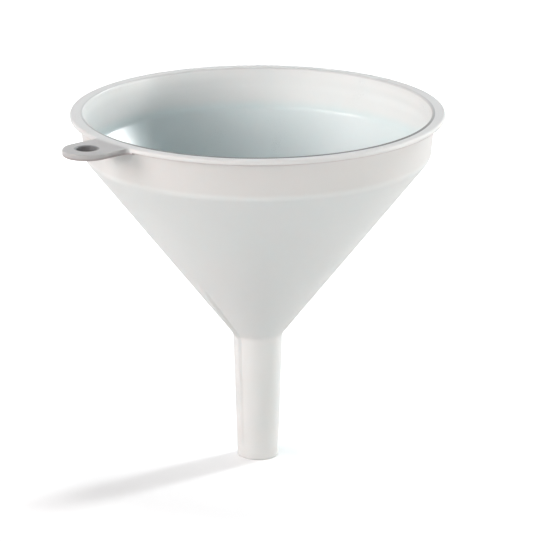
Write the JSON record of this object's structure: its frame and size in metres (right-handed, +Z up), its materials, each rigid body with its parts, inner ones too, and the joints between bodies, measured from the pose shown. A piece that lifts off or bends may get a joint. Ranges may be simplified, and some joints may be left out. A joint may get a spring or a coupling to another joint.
{
  "type": "filling funnel",
  "caption": "Narrow-spout filling funnel of milky plastic: flat lip, upright collar, plain cone, tapered spout with a vent rib, and a hanging loop on the lip.",
  "frame": {"origin": "centre of the spout's cut end, on the funnel's axis", "axes": "+Z up the funnel's axis towards the mouth, -X towards the hanging loop and the vent rib, +Y completes the right-handed frame"},
  "size_m": [0.1375, 0.12, 0.1155],
  "materials": {
    "milky_plastic": "milky, see-through polypropylene with a smooth, softly shiny moulded skin"
  },
  "bodies": {
    "root": {"rim_lip": "milky_plastic", "collar": "milky_plastic", "cone": "milky_plastic", "spout": "milky_plastic", "vent_rib": "milky_plastic", "hanging_loop": "milky_plastic"}
  },
  "joints": []
}
